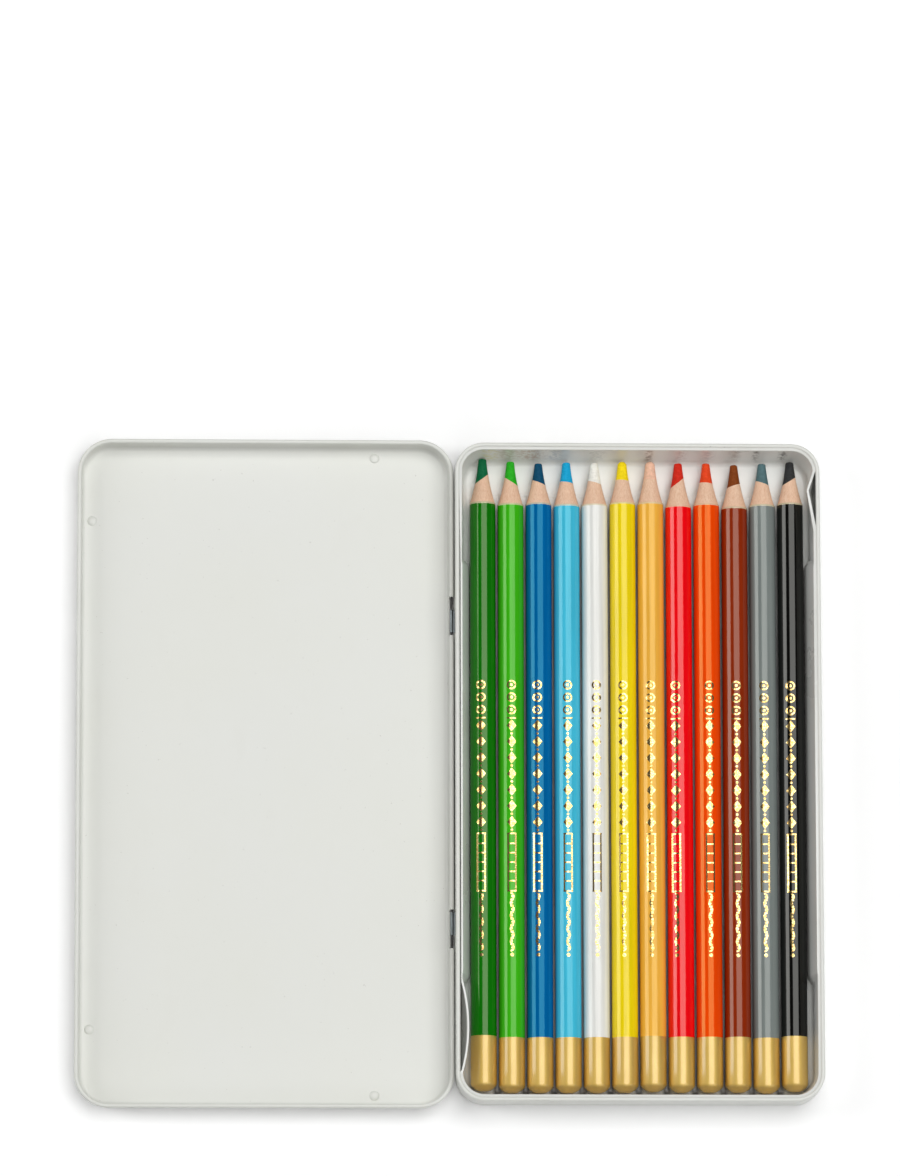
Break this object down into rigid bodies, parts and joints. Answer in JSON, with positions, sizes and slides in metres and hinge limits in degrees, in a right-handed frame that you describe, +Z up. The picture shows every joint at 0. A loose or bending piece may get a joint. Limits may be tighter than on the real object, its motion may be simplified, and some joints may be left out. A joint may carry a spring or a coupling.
{
  "type": "colored pencil box",
  "caption": "Shallow rolled-edge tin with its hinged lid folded open flat, holding round coloured pencils side by side in a grooved plastic tray.",
  "frame": {"origin": "middle of the flat underside of the base tin, on the table", "axes": "+Z up, +Y along the pencils towards their tips, +X across the row, away from the hinge and the open lid"},
  "size_m": [0.2062, 0.1868, 0.012],
  "materials": {
    "tin_white": "white enamelled tinplate, satin gloss",
    "hinge_steel": "drawn wire",
    "tray_white": "thin thermoformed sheet, soft gloss",
    "casing_dark_green": "wood under gloss lacquer, bare where sharpened, butt dipped in gold",
    "lead_dark_green": "waxy pigment",
    "casing_light_green": "wood under gloss lacquer, bare where sharpened, butt dipped in gold",
    "lead_light_green": "waxy pigment",
    "casing_blue": "wood under gloss lacquer, bare where sharpened, butt dipped in gold",
    "lead_blue": "waxy pigment",
    "casing_light_blue": "wood under gloss lacquer, bare where sharpened, butt dipped in gold",
    "lead_light_blue": "waxy pigment",
    "casing_white": "wood under gloss lacquer, bare where sharpened, butt dipped in gold",
    "lead_white": "waxy pigment",
    "casing_yellow": "wood under gloss lacquer, bare where sharpened, butt dipped in gold",
    "lead_yellow": "waxy pigment",
    "casing_apricot": "wood under gloss lacquer, bare where sharpened, butt dipped in gold",
    "lead_apricot": "waxy pigment",
    "casing_red": "wood under gloss lacquer, bare where sharpened, butt dipped in gold",
    "lead_red": "waxy pigment",
    "casing_orange": "wood under gloss lacquer, bare where sharpened, butt dipped in gold",
    "lead_orange": "waxy pigment",
    "casing_brown": "wood under gloss lacquer, bare where sharpened, butt dipped in gold",
    "lead_brown": "waxy pigment",
    "casing_grey": "wood under gloss lacquer, bare where sharpened, butt dipped in gold",
    "lead_grey": "waxy pigment",
    "casing_black": "wood under gloss lacquer, bare where sharpened, butt dipped in gold",
    "lead_black": "waxy pigment"
  },
  "bodies": {
    "base": {"base_tin": "tin_white", "pencil_tray": "tray_white"},
    "lid": {"lid_tin": "tin_white", "hinge_pin_tip_end": "hinge_steel", "hinge_pin_butt_end": "hinge_steel"},
    "pencil_dark_green": {"casing_dark_green": "casing_dark_green", "lead_dark_green": "lead_dark_green"},
    "pencil_light_green": {"casing_light_green": "casing_light_green", "lead_light_green": "lead_light_green"},
    "pencil_blue": {"casing_blue": "casing_blue", "lead_blue": "lead_blue"},
    "pencil_light_blue": {"casing_light_blue": "casing_light_blue", "lead_light_blue": "lead_light_blue"},
    "pencil_white": {"casing_white": "casing_white", "lead_white": "lead_white"},
    "pencil_yellow": {"casing_yellow": "casing_yellow", "lead_yellow": "lead_yellow"},
    "pencil_apricot": {"casing_apricot": "casing_apricot", "lead_apricot": "lead_apricot"},
    "pencil_red": {"casing_red": "casing_red", "lead_red": "lead_red"},
    "pencil_orange": {"casing_orange": "casing_orange", "lead_orange": "lead_orange"},
    "pencil_brown": {"casing_brown": "casing_brown", "lead_brown": "lead_brown"},
    "pencil_grey": {"casing_grey": "casing_grey", "lead_grey": "lead_grey"},
    "pencil_black": {"casing_black": "casing_black", "lead_black": "lead_black"}
  },
  "joints": [
    {"name": "lid_hinge", "type": "hinge", "parent": "base", "child": "lid", "pos_m": [-0.05165, 0, 0.0063], "axis": [0, -1, 0], "range_deg": [-180, 0]},
    {"name": "lift_dark_green", "type": "slide", "parent": "base", "child": "pencil_dark_green", "axis": [0, 0, 1], "range_m": [0, 0.02]},
    {"name": "lift_light_green", "type": "slide", "parent": "base", "child": "pencil_light_green", "axis": [0, 0, 1], "range_m": [0, 0.02]},
    {"name": "lift_blue", "type": "slide", "parent": "base", "child": "pencil_blue", "axis": [0, 0, 1], "range_m": [0, 0.02]},
    {"name": "lift_light_blue", "type": "slide", "parent": "base", "child": "pencil_light_blue", "axis": [0, 0, 1], "range_m": [0, 0.02]},
    {"name": "lift_white", "type": "slide", "parent": "base", "child": "pencil_white", "axis": [0, 0, 1], "range_m": [0, 0.02]},
    {"name": "lift_yellow", "type": "slide", "parent": "base", "child": "pencil_yellow", "axis": [0, 0, 1], "range_m": [0, 0.02]},
    {"name": "lift_apricot", "type": "slide", "parent": "base", "child": "pencil_apricot", "axis": [0, 0, 1], "range_m": [0, 0.02]},
    {"name": "lift_red", "type": "slide", "parent": "base", "child": "pencil_red", "axis": [0, 0, 1], "range_m": [0, 0.02]},
    {"name": "lift_orange", "type": "slide", "parent": "base", "child": "pencil_orange", "axis": [0, 0, 1], "range_m": [0, 0.02]},
    {"name": "lift_brown", "type": "slide", "parent": "base", "child": "pencil_brown", "axis": [0, 0, 1], "range_m": [0, 0.02]},
    {"name": "lift_grey", "type": "slide", "parent": "base", "child": "pencil_grey", "axis": [0, 0, 1], "range_m": [0, 0.02]},
    {"name": "lift_black", "type": "slide", "parent": "base", "child": "pencil_black", "axis": [0, 0, 1], "range_m": [0, 0.02]}
  ]
}
